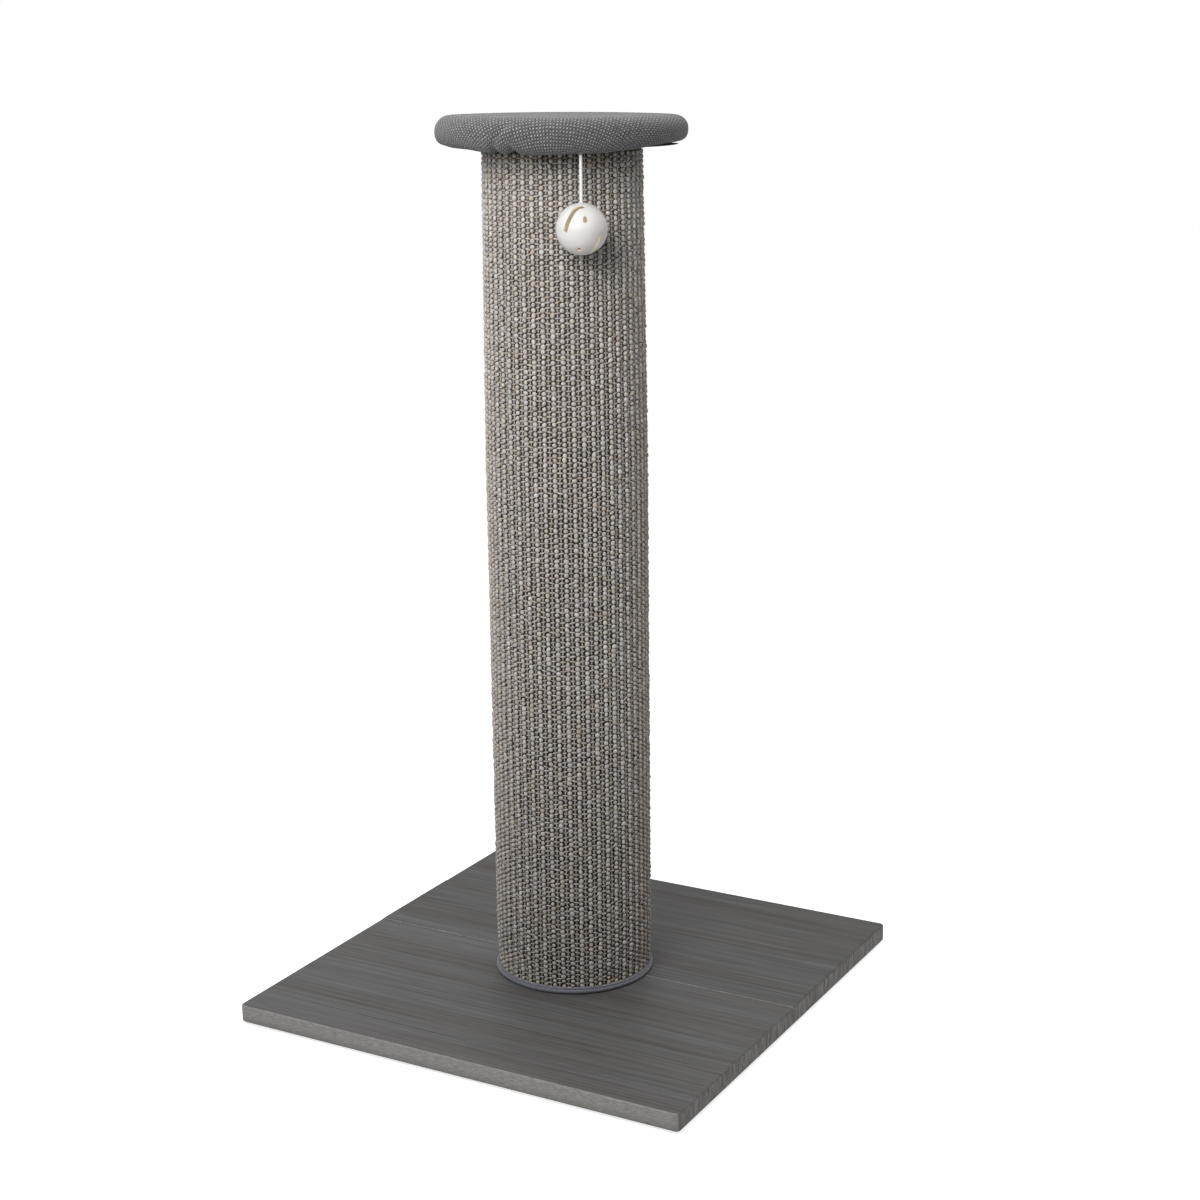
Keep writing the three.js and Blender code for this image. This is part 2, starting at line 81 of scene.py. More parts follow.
lid_board_top = 883.7
rim_centre_radius = 108.0
rim_bulge = 14.0
rim_middle = 883.3
rim_upper_height, rim_lower_height = 14.1, 19.1
lid_top = 899.1
crown_drop = 1.7
turn_under_bottom = 869.8
turn_under_radius = 91.5
cover_thickness = 1.6
foam_radius, foam_foot = 113.8, 874.0
lining_bottom, lining_thickness = 868.7, 0.8
lining_radius = 100.0
thread_pitch = 2.25  # of the lid's fabric
fabric_grain_azimuth = 70

toy_azimuth = 39.3
toy_radius = 105.0
cord_diameter = 3.0
cord_exit = 864.2
knot_radius = 3.4
knot_bottom, knot_top = 812.3, 818.3
cord_end = knot_bottom + 0.6
stop_knot_bottom, stop_knot_top = 877.7, 883.4
anchor_middle, anchor_length = 871.2, 13.8  # the hidden cord up to the stop knot
ball_centre = 796.5
ball_radius, ball_wall = 24.0, 1.6
spigot_height = 2.5
cutter_inner, cutter_outer = 20, 27  # radii between which the slots are cut
drill_length = 16
slot_edge = 0.3  # how far the slots' edges are rounded

camera_azimuth, camera_elevation, camera_roll = 29.967, 14.103, -0.899
camera_target = (-27.434, 49.246, 403.3)
camera_distance = 2226.227

ambient_strength, backdrop_strength, sweep_glow = 0.24, 1.0, 0.78

# The ball's openings: [azimuth from the outward side, latitude] in degrees, and width.
long_slot = ([(-4, 62), (-29, 54), (-41, 27), (-49, 0)], 4.8)
short_slot = ([(34, -17), (33, -35), (31, -56)], 2.9)
oval_hole = ([(0, 28), (-1, 25), (-1, 22)], 4.0)
round_hole = ([(-19, -47)], 4.2)


def direction(azimuth, rise=0):
    """The unit vector at an azimuth and an angle above the level, both in degrees."""
    azimuth, rise = math.radians(azimuth), math.radians(rise)
    level = Vector((math.sin(azimuth), -math.cos(azimuth), 0))
    return level * math.cos(rise) + Vector((0, 0, math.sin(rise)))


toy_axis = direction(toy_azimuth) * toy_radius


# --------------------------- material helpers

colour_mix = {"data_type": "RGBA"}
colour_multiply = {"data_type": "RGBA", "blend_type": "MULTIPLY"}


def colour(hex_code):
    """An sRGB hex colour as the linear values that the shaders take."""
    parts = [int(hex_code[i : i + 2], 16) / 255 for i in (1, 3, 5)]
    linear = [
        p / 12.92 if p <= 0.04045 else ((p + 0.055) / 1.055) ** 2.4 for p in parts
    ]
    return (*linear, 1.0)


def add_node(owner, kind, inputs=None, stops=None, **settings):
    """A node with its settings; each input takes a value or another node's output, and
    stops are a ramp's (position, hex colour) pairs."""
    made = owner.node_tree.nodes.new("ShaderNode" + kind)
    for name, value in settings.items():
        setattr(made, name, value)
    for name, value in (inputs or {}).items():
        if isinstance(value, bpy.types.NodeSocket):
            owner.node_tree.links.new(value, made.inputs[name])
        else:
            made.inputs[name].default_value = value
    for i, (position, hex_code) in enumerate(stops or ()):
        elements = made.color_ramp.elements
        stop = elements[i] if i < 2 else elements.new(position)
        stop.position, stop.color = position, colour(hex_code)
    return made


def new_material(name):
    """A material without nodes, and the call that adds a node to it."""
    made = bpy.data.materials.new(name)
    made.use_nodes = True
    made.node_tree.nodes.clear()
    return made, partial(add_node, made)


def finish_material(material, shader_inputs):
    """Ends a material in one Principled shader."""
    shader = add_node(material, "BsdfPrincipled", shader_inputs)
    add_node(material, "OutputMaterial", {"Surface": shader.outputs[0]})
    return material


def mottled(name, scale, detail, stops, shader, bump=None, stretch=None):
    """A finish of one noise, whose colour runs from the first stop to the last. Bump is
    the relief's strength and its height in metres; stretch is a scale for each axis."""
    material, add = new_material(name)
    place = add("TexCoord").outputs["Object"]
    if stretch:
        place = add("Mapping", {"Vector": place, "Scale": stretch}).outputs[0]
    noise = {"Vector": place, "Scale": scale, "Detail": detail}
    noise = add("TexNoise", noise).outputs[0]
    shade = add("ValToRGB", {0: noise}, stops=stops)
    inputs = {"Base Color": shade.outputs[0], **shader}
    if bump:
        relief = {"Height": noise, "Strength": bump[0], "Distance": bump[1]}
        inputs["Normal"] = add("Bump", relief).outputs[0]
    return finish_material(material, inputs)


def dress(material, *node_names):
    """Gives CAD nodes that keep their shape a better material."""
    for name in node_names:
        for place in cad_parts[name].material_slots:
            place.material = material


# ------------------------------ shape helpers

round_z = {"cent": (0, 0, 0), "axis": (0, 0, 1)}


def turned(profile, segments, closed=False):
    """[radius, height] points spun about Z, as a bmesh; closed joins the last point to
    the first."""
    shape = bmesh.new()
    corners = [shape.verts.new((radius, 0, height)) for radius, height in profile]
    pairs = list(zip(corners, corners[1:] + corners[:1]))
    edges = [shape.edges.new(pair) for pair in (pairs if closed else pairs[:-1])]
    bmesh.ops.spin(
        shape,
        geom=corners + edges,
        angle=2 * math.pi,
        steps=segments,
        use_merge=True,
        **round_z,
    )
    bmesh.ops.remove_doubles(shape, verts=shape.verts, dist=1e-4)
    bmesh.ops.recalc_face_normals(shape, faces=shape.faces)
    return shape


def arc(centre, semi_axes, start, end, steps):
    """Points on an arc of an ellipse in the [radius, height] plane, ends included."""
    angles = [math.radians(start + (end - start) * i / steps) for i in range(steps + 1)]
    return [
        (centre[0] + semi_axes[0] * math.cos(a), centre[1] + semi_axes[1] * math.sin(a))
        for a in angles
    ]


def add_piece(name, shape, material, body, slot, *replaced):
    """A bmesh in millimetres as a smooth piece in metres; a piece without a body is
    attached later or left loose."""
    bmesh.ops.scale(shape, vec=(MM, MM, MM), verts=shape.verts)
    mesh = bpy.data.meshes.new(name)
    shape.to_mesh(mesh)
    shape.free()
    mesh.shade_smooth()
    mesh.materials.append(material)
    piece = bpy.data.objects.new(name, mesh)
    bpy.context.scene.collection.objects.link(piece)
    if body:
        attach(piece, body)
    if replaced:
        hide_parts(*replaced)
    return piece


def coordinates(piece):
    """A piece's vertices as an array, in millimetres."""
    flat = np.empty(3 * len(piece.data.vertices), np.float32)
    piece.data.vertices.foreach_get("co", flat)
    return flat.reshape(-1, 3) / MM


def set_coordinates(piece, places):
    """Moves a piece's vertices to places in millimetres."""
    piece.data.vertices.foreach_set("co", (places * MM).astype(np.float32).ravel())
    piece.data.update()


def polar(places):
    """The places' distances from Z, and their azimuths."""
    x, y = places[:, 0], places[:, 1]
    return np.hypot(x, y), np.degrees(np.arctan2(x, -y))


def push_out(places, distances):
    """Moves places straight away from Z."""
    radius = np.maximum(polar(places)[0], 1e-6)
    places[:, :2] *= ((radius + distances) / radius)[:, None]


# ------------------------ camera and lighting


def add_camera():
    """The photograph's viewpoint: a long lens just above the lid, turned 30 degrees."""
    roll = math.radians(camera_roll)
    back = direction(camera_azimuth, camera_elevation)
    right = Vector((0, 0, 1)).cross(back).normalized()
    up = back.cross(right)
    rolled_right = math.cos(roll) * right + math.sin(roll) * up
    rolled_up = -math.sin(roll) * right + math.cos(roll) * up
    axes = Matrix((rolled_right, rolled_up, back)).transposed().to_4x4()
    lens = bpy.data.cameras.new("camera")
    lens.lens = 64.1724
    lens.sensor_width = 36
    lens.shift_x = 0.025
    camera = bpy.data.objects.new("camera", lens)
    place = (Vector(camera_target) + back * camera_distance) * MM
    camera.matrix_world = Matrix.Translation(place) @ axes
    bpy.context.scene.collection.objects.link(camera)
    bpy.context.scene.camera = camera


def add_lamp(name, place, aim, size, power):
    """A round area lamp: its place, aim and size are metres, and its power is watts."""
    lamp = bpy.data.lights.new(name, "AREA")
    lamp.shape = "DISK"
    lamp.size = size
    lamp.energy = power
    holder = bpy.data.objects.new(name, lamp)
    holder.location = place
    aimed = (Vector(aim) - Vector(place)).to_track_quat("-Z", "Y")
    holder.rotation_euler = aimed.to_euler()
    bpy.context.scene.collection.objects.link(holder)


def seen_directly(add):
    """1 for camera, glossy and transmission rays, 0 for rays that light the object."""
    rays = add("LightPath").outputs
    shiny = {0: rays["Is Glossy Ray"], 1: rays["Is Transmission Ray"]}
    shiny = add("Math", shiny, operation="MAXIMUM").outputs[0]
    direct = {0: rays["Is Camera Ray"], 1: shiny}
    return add("Math", direct, operation="MAXIMUM").outputs[0]


def add_studio():
    """A white sweep, a soft lamp in front of the lid, one above and one behind."""
    scene = bpy.context.scene
    scene.view_settings.view_transform = "Standard"
    world = bpy.data.worlds.new("studio")
    world.use_nodes = True
    world.node_tree.nodes.clear()
    scene.world = world
    add = partial(add_node, world)
    white = colour("#ffffff")
    ambient, backdrop = (
        add("Background", {"Color": white, "Strength": strength}).outputs[0]
        for strength in (ambient_strength, backdrop_strength)
    )
    either = add("MixShader", {0: seen_directly(add), 1: ambient, 2: backdrop})
    add("OutputWorld", {"Surface": either.outputs[0]})

    add_lamp("key_lamp", (0.1, -1.05, 1.35), (0, 0, 0.85), 0.8, 18.5)
    add_lamp("top_lamp", (-0.35, 0.1, 2.2), (0, 0, 0.6), 1.2, 14)
    add_lamp("back_lamp", (0.9, 1.2, 1.5), (0, 0, 0.5), 1.4, 8)

    sweep, add = new_material("white_painted_sweep")
    paint = add("BsdfPrincipled", {"Base Color": colour("#cfcfcf"), "Roughness": 0.9})
    dark, glow = (
        add("Emission", {"Color": shade, "Strength": strength}).outputs[0]
        for shade, strength in ((colour("#000000"), 0.0), (white, sweep_glow))
    )
    shown = add("MixShader", {0: seen_directly(add), 1: dark, 2: glow})
    both = add("AddShader", {0: paint.outputs[0], 1: shown.outputs[0]})
    add("OutputMaterial", {"Surface": both.outputs[0]})
    ground = bmesh.new()
    bmesh.ops.create_circle(ground, cap_ends=True, segments=96, radius=30.0)
    mesh = bpy.data.meshes.new("floor_sweep")
    ground.to_mesh(mesh)
    ground.free()
    mesh.materials.append(sweep)
    floor = bpy.data.objects.new("floor_sweep", mesh)
    scene.collection.objects.link(floor)


# --------------------------------------- cord


def braided_cotton():
    """White cotton braid: matt, with crossed strands about 1 mm apart."""
    material, add = new_material("braided_cotton")
    along_cord = add("UVMap").outputs[0]
    strand = add("Mapping", {"Vector": along_cord, "Scale": (4.0, 900.0, 1.0)})
    parts = add("SeparateXYZ", {0: strand.outputs[0]}).outputs
    around, along = (
        add("Math", {0: parts[i], 1: 2 * math.pi}, operation="MULTIPLY").outputs[0]
        for i in (0, 1)
    )
    crossed = []
    for direction in ("ADD", "SUBTRACT"):
        slope = add("Math", {0: around, 1: along}, operation=direction).outputs[0]
        crossed.append(add("Math", {0: slope}, operation="SINE").outputs[0])
    braid = add("Math", dict(enumerate(crossed)), operation="MAXIMUM").outputs[0]
    # The braid is darker where it is low: painted shade between the strands.
    shade = add("ValToRGB", {0: braid}, stops=[(0.0, "#c9c8c4"), (0.7, "#ecebe8")])
    bump = add("Bump", {"Height": braid, "Strength": 0.6, "Distance": 0.0003})
    inputs = {"Base Color": shade.outputs[0], "Normal": bump.outputs[0]}
    inputs |= {"Roughness": 0.85, "Sheen Weight": 0.25}
    return finish_material(material, inputs)


def wrap_tube(piece):
    """A UV map round and along the cord: u is in turns, and v is metres of height."""
    axis_x, axis_y = toy_axis.x * MM, toy_axis.y * MM
    layer = piece.data.uv_layers.new(name="along")
    for face in piece.data.polygons:
        corners = [piece.data.vertices[v].co for v in face.vertices]
        centre = sum(corners, Vector()) / len(corners)
        middle = math.atan2(centre.y - axis_y, centre.x - axis_x)
        for loop in face.loop_indices:
            at = piece.data.vertices[piece.data.loops[loop].vertex_index].co
            turn = math.atan2(at.y - axis_y, at.x - axis_x)
            turn += 2 * math.pi * round((middle - turn) / (2 * math.pi))
            layer.data[loop].uv = (turn / (2 * math.pi), at.z)


def knot_shape(bottom, top):
    """A barrel knot: three turns of cord side by side, drawn tight."""
    middle, half = (bottom + top) / 2, (top - bottom) / 2
    steps = 24
    profile = [(0, bottom)]
    for i in range(1, steps):
        share = -1 + 2 * i / steps
        groove = 0.28 * abs(math.cos(1.5 * math.pi * share))
        radius = knot_radius * math.sqrt(1 - 0.72 * share**2) - groove
        profile.append((radius, middle + half * share))
    profile.append((0, top))
    return turned(profile, 20)


def add_cord(cotton):
    """The cord from the lid to the knot inside the ball, and the knots at both ends."""
    shape = bmesh.new()
    rings = 60
    bmesh.ops.create_circle(shape, segments=14, radius=cord_diameter / 2)
    bmesh.ops.translate(shape, vec=(*toy_axis.xy, cord_exit), verts=shape.verts)
    ring = list(shape.edges)
    bmesh.ops.contextual_create(shape, geom=ring)
    step = (cord_end - cord_exit) / rings
    for _ in range(rings):
        grown = bmesh.ops.extrude_edge_only(shape, edges=ring)["geom"]
        ring = [g for g in grown if isinstance(g, bmesh.types.BMEdge)]
        corners = [g for g in grown if isinstance(g, bmesh.types.BMVert)]
        bmesh.ops.translate(shape, vec=(0, 0, step), verts=corners)
    bmesh.ops.contextual_create(shape, geom=ring)
    bmesh.ops.recalc_face_normals(shape, faces=shape.faces)
    cord = add_piece(
        "toy_cord_braid", shape, cotton, None, "cord", "toy_cord_top", "toy_cord"
    )
    wrap_tube(cord)
    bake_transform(cord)

    knot = knot_shape(knot_bottom, knot_top)
    bmesh.ops.translate(knot, vec=(*toy_axis.xy, 0), verts=knot.verts)
    ball_knot = add_piece("ball_knot", knot, cotton, "cord", "cord")
    wrap_tube(ball_knot)

    anchor = knot_shape(stop_knot_bottom, stop_knot_top)
    bmesh.ops.create_cone(
        anchor,
        cap_ends=True,
        segments=14,
        radius1=cord_diameter / 2,
        radius2=cord_diameter / 2,
        depth=anchor_length,
        matrix=Matrix.Translation((0, 0, anchor_middle)),
    )
    bmesh.ops.translate(anchor, vec=(*toy_axis.xy, 0), verts=anchor.verts)
    stop_knot = add_piece(
        "cord_stop_knot", anchor, cotton, "post", "cord", "toy_cord_anchor"
    )
    wrap_tube(stop_knot)


# --------------------------------------- base


def stained_pine(name, shift, tone, planed_and_painted_light):
    """Planed pine in a grey water stain under a thin satin sealer: long streaks along
    the boards, and end grain that drank more stain. Shift moves the grain from board to
    board, tone is the stain's two middle greys, and the last argument says how pale the
    front edge and the back edge are, partly as planed wood that took less stain and
    partly as painted light."""
    material, add = new_material(name)
    place = add("TexCoord").outputs["Object"]
    moved = (shift, 1.7 * shift, 0.6 * shift)
    layers = []
    for size, detail, roughness in (  # sizes in millimetres
        ((260, 4.5, 4.5), 5.0, 0.62),  # streaks
        ((70, 0.9, 1.1), 3.0, 0.65),  # fibres
        ((700, 30, 30), 2.0, 0.50),  # broad bands
    ):
        scale = tuple(1000 / s for s in size)
        grain = {"Vector": place, "Location": moved, "Scale": scale}
        noise = {"Vector": add("Mapping", grain).outputs[0], "Scale": 1.0}
        noise |= {"Detail": detail, "Roughness": roughness}
        layers.append(add("TexNoise", noise).outputs[0])
    streaks, fibres, bands = layers
    mixed = add("Mix", {0: 0.5, 2: streaks, 3: fibres}, data_type="FLOAT").outputs[0]
    mixed = add("Mix", {0: 0.22, 2: mixed, 3: bands}, data_type="FLOAT").outputs[0]
    stops = [(0.35, "#2b2826"), (0.46, tone[0]), (0.54, tone[1]), (0.66, "#6a6866")]
    dye = add("ValToRGB", {0: mixed}, stops=stops).outputs[0]
    stops = [(0.35, "#f6f3f5"), (0.5, "#f3f4f8"), (0.65, "#f0f3f8")]
    cast = add("ValToRGB", {0: bands}, stops=stops).outputs[0]
    stain = add("Mix", {0: 1.0, 6: dye, 7: cast}, **colour_multiply).outputs[2]

    # End grain: the growth rings cut across, close together and darker.
    across = add("Mapping", {"Vector": place, "Scale": (50, 1000 / 3.2, 1000 / 14)})
    rings = add("TexNoise", {"Vector": across.outputs[0], "Scale": 1.0, "Detail": 4.0})
    stops = [(0.34, "#34312f"), (0.66, "#716f6c")]
    end_grain = add("ValToRGB", {0: rings.outputs[0]}, stops=stops).outputs[0]
    facing = add("SeparateXYZ", {0: add("NewGeometry").outputs["True Normal"]}).outputs
    sideways = add("Math", {0: facing[0]}, operation="ABSOLUTE").outputs[0]
    at_end = add("MapRange", {"Value": sideways, "From Min": 0.75, "From Max": 0.95})
    top = add("Mix", {0: at_end.outputs[0], 6: stain, 7: end_grain}, **colour_mix)

    # The front and back faces are paler: partly planed wood that took less stain,
    # partly painted light for the light falling on them. Fine short fibres, darker
    # towards the floor.
    front, back = (
        add("Math", {0: facing[1], 1: share}, operation="MULTIPLY").outputs[0]
        for share in (-planed_and_painted_light[0], planed_and_painted_light[1])
    )
    outward = add("Math", {0: front, 1: back}, operation="MAXIMUM").outputs[0]
    grain = {"Vector": place, "Scale": (140, 1200, 900)}
    noise = {"Vector": add("Mapping", grain).outputs[0], "Scale": 1.0}
    noise |= {"Detail": 5.0, "Roughness": 0.7}
    edge_fibres = add("TexNoise", noise).outputs[0]
    stops = [(0.3, "#6e6c6a"), (0.5, "#878582"), (0.7, "#a3a19e")]
    edge_grain = add("ValToRGB", {0: edge_fibres}, stops=stops).outputs[0]
    height = add("SeparateXYZ", {0: place}).outputs[2]
    heights = {"Value": height, "From Min": 0.003, "From Max": 0.012, "To Min": 0.45}
    paler_higher_up = add("MapRange", heights).outputs[0]
    edge = add("Mix", {0: paler_higher_up, 6: stain, 7: edge_grain}, **colour_mix).outputs[2]
    pale = add("MapRange", {"Value": outward, "From Min": 0.25, "From Max": 0.8})
    shade = add("Mix", {0: pale.outputs[0], 6: top.outputs[2], 7: edge}, **colour_mix)
    bump = add("Bump", {"Height": mixed, "Strength": 0.35, "Distance": 0.0004})
    inputs = {"Base Color": shade.outputs[2], "Normal": bump.outputs[0]}
    inputs |= {"Roughness": 0.6, "Specular IOR Level": 0.35}
    return finish_material(material, inputs)


def grey_felt():
    """Pressed wool felt: matt, fuzzy and dark."""
    stops = [(0.35, "#2b2b2c"), (0.65, "#4a4a4b")]
    shader = {"Roughness": 0.95, "Sheen Weight": 0.3}
    return mottled("grey_felt", 1400.0, 4.0, stops, shader, bump=(0.7, 0.0005))


def add_base():
    """A stain for each board, and a felt pad under each corner."""
    for name, shift, tone, planed_and_painted_light in (
        ("base_strip_board", 0.31, ("#4f4d4b", "#5a5857"), (1.0, 0.2)),
        ("base_front_board", 1.93, ("#4c4a48", "#575654"), (0.3, 0.0)),
        ("base_middle_board", 3.57, ("#413f3d", "#4d4c4a"), (0.9, 0.0)),
        ("base_back_board", 5.21, ("#413f3d", "#4c4b49"), (0.3, 1.0)),
    ):
        wood = name.replace("base", "grey_stained_pine")
        dress(stained_pine(wood, shift, tone, planed_and_painted_light), name)

    felt = grey_felt()
    rounding = (pad_edge, pad_edge)
    edge_radius = pad_radius - pad_edge
    for side_y, y in (("front", -pad_reach), ("back", pad_reach)):
        for side_x, x in (("left", -pad_reach), ("right", pad_reach)):
            edge = arc((edge_radius, pad_edge), rounding, -90, 0, 3)
            edge += arc((edge_radius, pad_height - pad_edge), rounding, 0, 90, 3)
            pad = turned([(0, 0), *edge, (0, pad_height)], 48)
            bmesh.ops.translate(pad, vec=(x, y, 0), verts=pad.verts)
            name = f"floor_pad_{side_y}_{side_x}"
            add_piece("felt_" + name, pad, felt, "post", "felt", name)


# ------------------------------- sisal sleeve


def sisal_yarn():
    """Spun sisal, woven: dry, pale, fibrous knuckles that differ in tone and tint."""
    material, add = new_material("sisal_yarn")
    # The tone attribute also carries painted shade: the deeper crossbars and strands,
    # and the sleeve's lowest third, are set darker.
    tone, tint = (
        add("Attribute", attribute_name=name).outputs["Fac"]
        for name in ("tone", "tint")
    )
    stops = [(0.0, "#7a746f"), (0.35, "#aba49e"), (0.7, "#d6d0ca"), (1.0, "#fbf8f4")]
    grey = add("ValToRGB", {0: tone}, stops=stops).outputs[0]
    stops = [(0.0, "#e9d6cc"), (0.3, "#f1ece0"), (0.55, "#f4f2ee"), (0.8, "#f2eff4")]
    cast = add("ValToRGB", {0: tint}, stops=[*stops, (1.0, "#edf2f1")]).outputs[0]
    dyed = add("Mix", {0: 0.9, 6: grey, 7: cast}, **colour_multiply).outputs[2]
    place = add("TexCoord").outputs["Object"]
    noise = {"Vector": place, "Scale": 1600.0, "Detail": 3.0}
    fibres = add("TexNoise", noise).outputs[0]
    flecks = add("ValToRGB", {0: fibres}, stops=[(0.3, "#8a8a8a"), (0.7, "#ffffff")])
    shade = add("Mix", {0: 0.6, 6: dyed, 7: flecks.outputs[0]}, **colour_multiply)
    bump = add("Bump", {"Height": fibres, "Strength": 0.6, "Distance": 0.0004})
    inputs = {"Base Color": shade.outputs[2], "Normal": bump.outputs[0]}
    return finish_material(material, {**inputs, "Roughness": 0.8})


def sleeve_backing():
    """The ground weave in the gaps between the knuckles: deep and fibrous, painted dark
    as shade in the gaps.
    """
    stops = [(0.3, "#3a3631"), (0.7, "#6a645c")]
    return mottled("sisal_ground_weave_painted_shade", 900.0, 3.0, stops, {"Roughness": 0.95})


def jitter_knuckles(places, random, spread, turn):
    """Moves, turns and resizes each little round shape on the sleeve's surface. Places
    is an array of [shape, vertex, axis]."""
    count = places.shape[0]
    angle = np.arctan2(places[..., 1], places[..., 0])
    centre_angle = np.arctan2(
        np.sin(angle).mean(1, keepdims=True), np.cos(angle).mean(1, keepdims=True)
    )
    radius = np.hypot(places[..., 0], places[..., 1])
    centre_radius = radius.mean(1, keepdims=True)
    centre_height = places[..., 2].mean(1, keepdims=True)
    across = np.angle(np.exp(1j * (angle - centre_angle))) * sleeve_radius
    up = places[..., 2] - centre_height
    out = radius - centre_radius
    wide, tall, deep = (random.uniform(0.8, 1.18, (count, 1)) for _ in range(3))
    lean = np.radians(random.normal(0, turn, (count, 1)))
    across, up = (
        across * wide * np.cos(lean) - up * tall * np.sin(lean),
        across * wide * np.sin(lean) + up * tall * np.cos(lean),
    )
    across = across + random.normal(0, spread, (count, 1))
    up = up + random.normal(0, spread, (count, 1))
    out = out * deep + np.clip(random.normal(0, 0.22, (count, 1)), -0.5, 0.3)
    angle = centre_angle + across / sleeve_radius
    radius = np.minimum(centre_radius + out, sleeve_radius + 0.6)
    return np.stack(
        [radius * np.cos(angle), radius * np.sin(angle), centre_height + up], axis=-1
    )


def add_ground_weave(seam_gap):
    """The sleeve's ground, painted dark as shade in the gaps: one turn of cloth round
    the tube, with a butt seam.
    """
    backing = bmesh.new()
    wall = [
        (sleeve_inner_radius, post_bottom),
        (backing_radius, post_bottom),
        (backing_radius, sleeve_top),
        (sleeve_inner_radius, sleeve_top),
    ]
    section = backing.faces.new([backing.verts.new((r, 0, h)) for r, h in wall])
    angle = math.radians(360 - seam_gap)
    bmesh.ops.spin(backing, geom=[section], angle=angle, steps=200, **round_z)
    bmesh.ops.recalc_face_normals(backing, faces=backing.faces)
    start = math.radians(sleeve_seam_azimuth + seam_gap / 2 - 90)
    turn = Matrix.Rotation(start, 3, "Z")
    bmesh.ops.rotate(backing, cent=(0, 0, 0), matrix=turn, verts=backing.verts)
    dark = sleeve_backing()
    add_piece("sleeve_ground_weave", backing, dark, "post", "sisal", "sisal_sleeve")


def add_sleeve():
    """The woven sleeve: upright columns of sisal knuckles over a dark ground weave."""
    yarn = sisal_yarn()
    seam_gap = math.degrees(sleeve_seam_width / sleeve_radius)
    pitch = (360 - seam_gap) / sleeve_columns
    first_azimuth = sleeve_seam_azimuth + (seam_gap + pitch) / 2
    add_ground_weave(seam_gap)

    quarter = sleeve_columns // 4
    row_height = (sleeve_top - post_bottom) / sleeve_rows
    rows = sleeve_rows // sleeve_bands
    # Knuckle, crossbar and strand: the centre's radius, its place in the column's pitch
    # and in the row, half sizes out, across and up, the sphere's segments, the jitter's
    # spread and turn, the level and scatter of the tone, and the level of the tint.
    # The crossbars and strands lie deeper and get lower tone levels: painted shade for
    # the weave's depths.
    kinds = (
        (78.20, 0.0, 0.5, (1.65, 2.40, 2.65), (8, 4), 0.22, 20, 0.63, 0.07, 0.66),
        (77.75, 0.5, 0.0, (1.10, 3.60, 1.20), (6, 3), 0.18, 9, 0.50, 0.07, 0.52),
        (77.40, 0.5, 0.5, (1.00, 0.95, 2.40), (6, 3), 0.18, 8, 0.42, 0.07, 0.50),
    )
    random = np.random.default_rng(20)
    for band in range(sleeve_bands):
        shape = bmesh.new()
        mark = shape.verts.layers.int.new("knuckle")
        for kind, (radius, aside, rise, half_sizes, segments, *_) in enumerate(kinds):
            start = math.radians(first_azimuth - 90 + aside * pitch)
            turn = Matrix.Rotation(start, 4, "Z")
            for row in range(rows):
                height = post_bottom + (band * rows + row + rise) * row_height
                place = (
                    turn
                    @ Matrix.Translation((radius, 0, max(height, post_bottom + 1)))
                    @ Matrix.Diagonal((*half_sizes, 1))
                    @ Matrix.Rotation(math.pi / 2, 4, "Y")
                )
                made = bmesh.ops.create_uvsphere(
                    shape,
                    u_segments=segments[0],
                    v_segments=segments[1],
                    radius=1,
                    matrix=place,
                )
                for corner in made["verts"]:
                    corner[mark] = kind * rows + row
        # The column is copied to a quarter of the way round, and that is doubled twice.
        everything = shape.verts[:] + shape.edges[:] + shape.faces[:]
        bmesh.ops.spin(
            shape,
            geom=everything,
            angle=math.radians((quarter - 1) * pitch),
            steps=quarter - 1,
            use_duplicate=True,
            **round_z,
        )
        for copied in (quarter, 2 * quarter):
            everything = shape.verts[:] + shape.edges[:] + shape.faces[:]
            copy = bmesh.ops.duplicate(shape, geom=everything)["geom"]
            bmesh.ops.rotate(
                shape,
                cent=(0, 0, 0),
                matrix=Matrix.Rotation(math.radians(copied * pitch), 3, "Z"),
                verts=[g for g in copy if isinstance(g, bmesh.types.BMVert)],
            )
        piece = add_piece(f"sisal_weave_{band + 1}", shape, yarn, "post", "sisal")

        places = coordinates(piece)
        knuckle = np.empty(len(places), np.int32)
        piece.data.attributes["knuckle"].data.foreach_get("value", knuckle)
        azimuth = polar(places)[1]
        tone, tint = np.empty(len(places)), np.empty(len(places))
        for kind, (_, aside, *_, spread, turn, level, scatter, hue) in enumerate(kinds):
            mine = np.flatnonzero(knuckle // rows == kind)
            column = (azimuth - first_azimuth + (0.5 - aside) * pitch) % 360 // pitch
            mine = mine[np.lexsort((knuckle[mine], column[mine]))]
            count = sleeve_columns * rows
            places[mine] = jitter_knuckles(
                places[mine].reshape(count, -1, 3), random, spread, turn
            ).reshape(-1, 3)
            size = len(mine) // count
            tone[mine] = np.repeat(random.normal(level, scatter, count), size)
            tint[mine] = np.repeat(np.clip(random.normal(hue, 0.2, count), 0, 1), size)
        # The cloth is fuller towards its foot than under the lid.
        heights = (23, 32, 60, 400, 560, 700, 865)
        fuller = np.interp(places[:, 2], heights, (0, 0, 1.4, 1.3, 1.4, 0.2, -1.6))
        push_out(places, fuller)
        set_coordinates(piece, places)
        # Painted shade: the lowest third is made darker, standing in for the shade near
        # the dark base.
        tone -= 0.16 * np.clip((330 - places[:, 2]) / 260, 0, 1)
        tone = np.clip(tone, 0, 1)
        for name, values in (("tone", tone), ("tint", tint)):
            layer = piece.data.attributes.new(name, "FLOAT", "POINT")
            layer.data.foreach_set("value", values.astype(np.float32))


# ------------------------------------- piping


